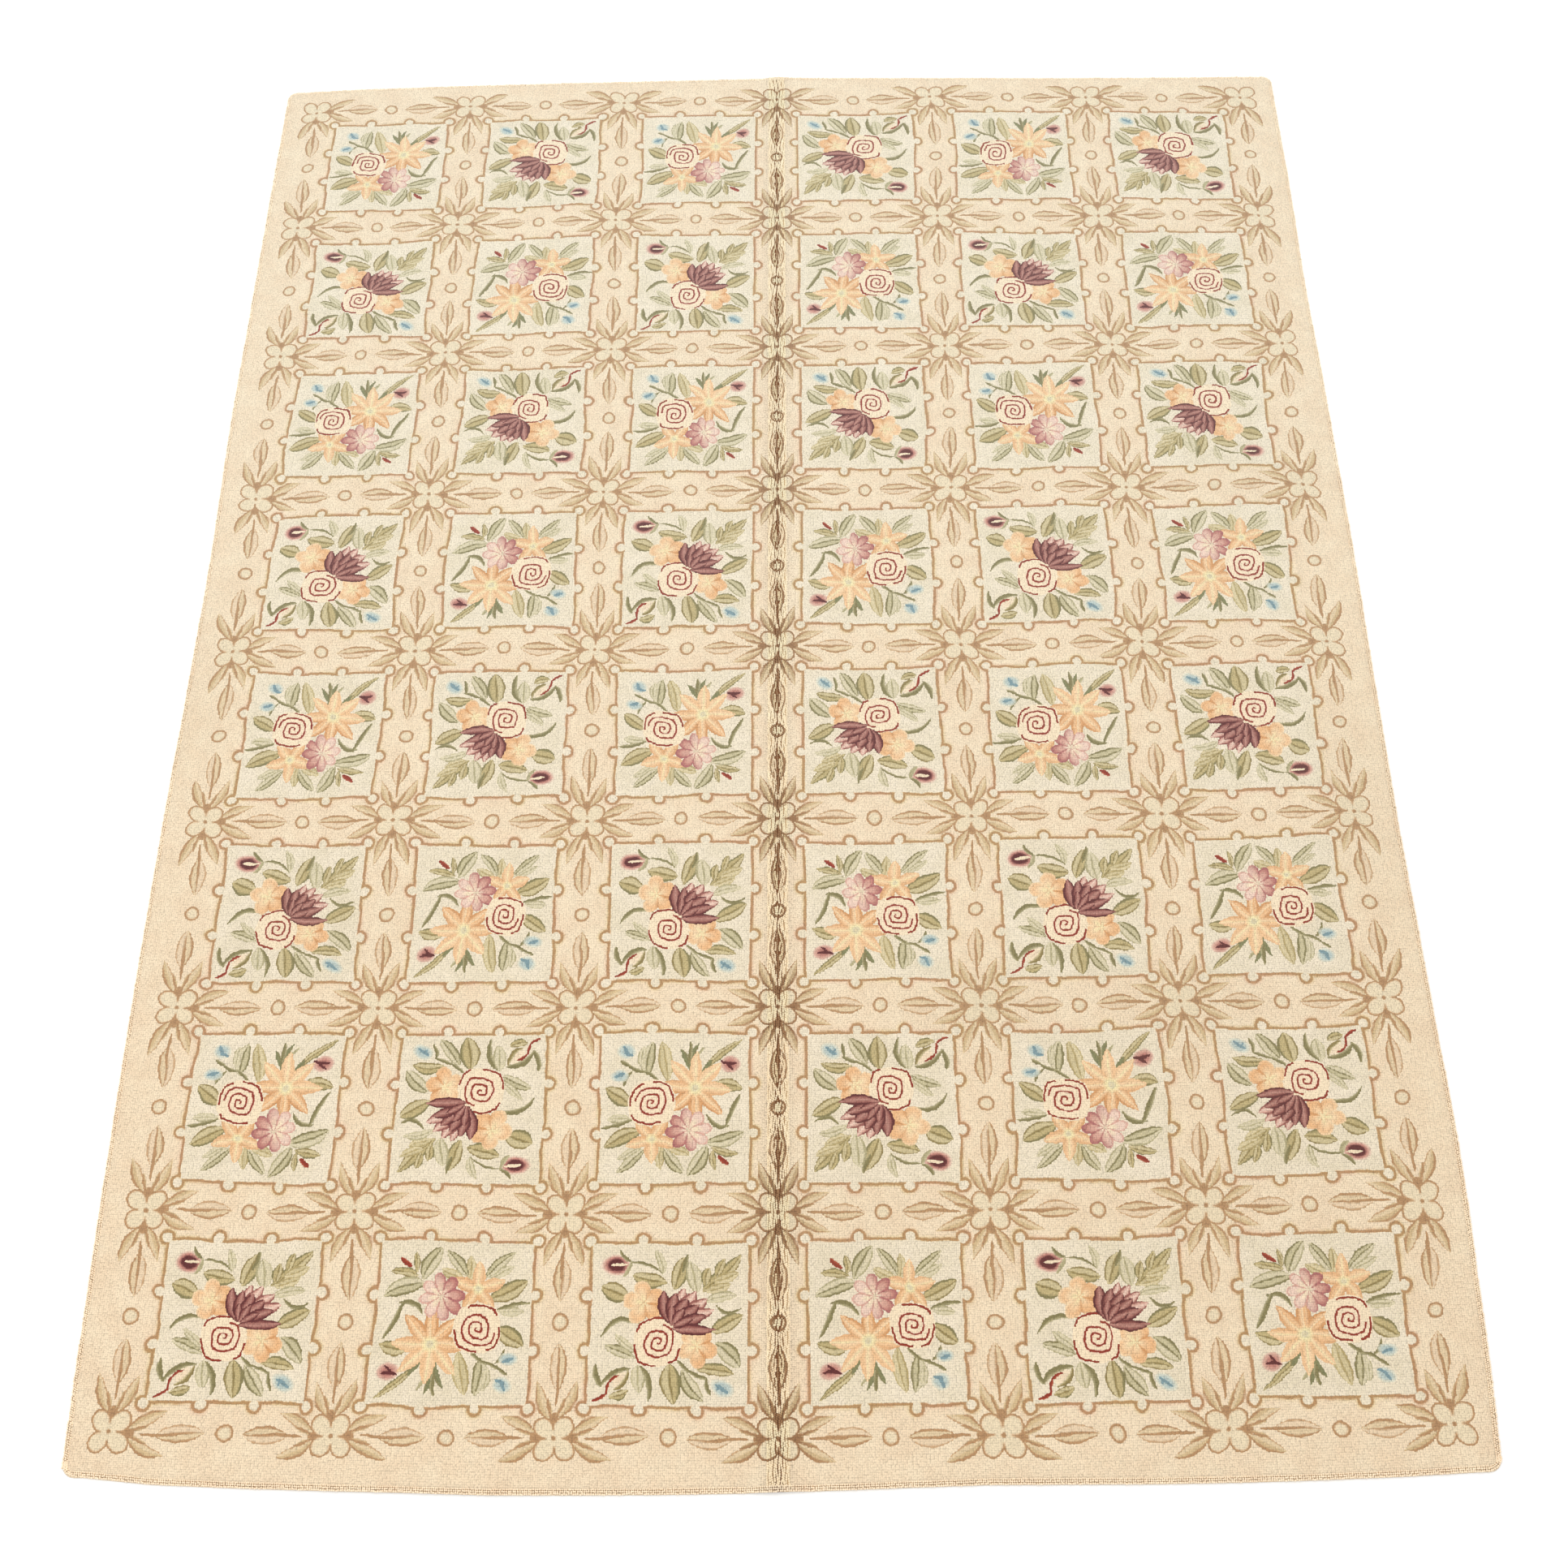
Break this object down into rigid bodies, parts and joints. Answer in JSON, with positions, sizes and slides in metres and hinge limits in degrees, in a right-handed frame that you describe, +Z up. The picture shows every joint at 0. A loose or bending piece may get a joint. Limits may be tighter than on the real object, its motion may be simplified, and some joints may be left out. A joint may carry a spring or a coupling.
{
  "type": "hooked rug",
  "caption": "Large rectangular hooked wool rug, lying flat, with bowed ends, softly rounded corners and a low ridge where it was folded.",
  "frame": {"origin": "on the floor, under the middle of the rug's box", "axes": "+Z up out of the pile, +Y along the rug's length towards the far end in the picture, +X across it to the right"},
  "size_m": [2.7614, 3.674, 0.0135],
  "materials": {
    "wool_pile": "matt hooked wool loops in cream and peach with soft flower colours"
  },
  "bodies": {
    "root": {"rug": "wool_pile"}
  },
  "joints": []
}
